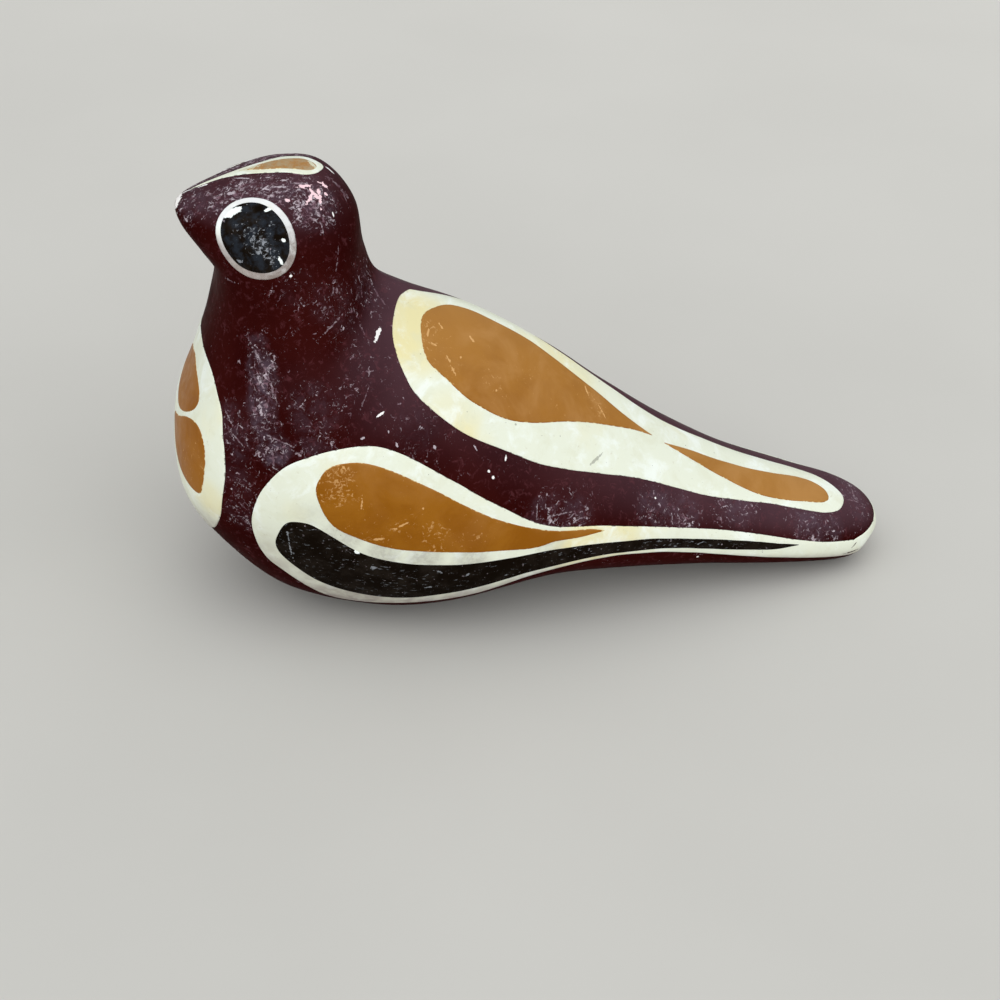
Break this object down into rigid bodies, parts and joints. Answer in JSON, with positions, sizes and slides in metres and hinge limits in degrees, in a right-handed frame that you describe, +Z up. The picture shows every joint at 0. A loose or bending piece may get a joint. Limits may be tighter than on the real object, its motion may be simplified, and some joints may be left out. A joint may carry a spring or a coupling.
{
  "type": "pottery bird figurine",
  "caption": "Hollow pottery bird with a blunt head, full breast and tapering tail, painted in maroon, cream, ochre and black slip and burnished, standing on its belly and tail.",
  "frame": {"origin": "middle of the bird's length and width, on the surface it stands on", "axes": "+X from beak to tail, +Y toward the bird's right side, +Z up"},
  "size_m": [0.1541, 0.065, 0.0965],
  "materials": {
    "maroon_clay": "burnished satin, scuffed",
    "cream_slip": "burnished satin",
    "ochre_slip": "burnished satin, flecked",
    "black_slip": "burnished satin, scratched"
  },
  "bodies": {
    "root": {"body_left_half": "maroon_clay", "body_right_half": "maroon_clay", "luting_seam": "maroon_clay", "crown_cream": "cream_slip", "crown_ochre": "ochre_slip", "eye_white_left": "cream_slip", "eye_white_right": "cream_slip", "eye_pupil_left": "black_slip", "eye_pupil_right": "black_slip", "breast_cream": "cream_slip", "breast_ochre_upper": "ochre_slip", "breast_ochre_lower": "ochre_slip", "upper_wing_cream_left": "cream_slip", "upper_wing_cream_right": "cream_slip", "upper_wing_ochre_front_left": "ochre_slip", "upper_wing_ochre_front_right": "ochre_slip", "upper_wing_ochre_rear_left": "ochre_slip", "upper_wing_ochre_rear_right": "ochre_slip", "lower_wing_cream_left": "cream_slip", "lower_wing_cream_right": "cream_slip", "lower_wing_ochre_left": "ochre_slip", "lower_wing_ochre_right": "ochre_slip", "lower_wing_black_left": "black_slip", "lower_wing_black_right": "black_slip", "tail_band_cream": "cream_slip"}
  },
  "joints": []
}
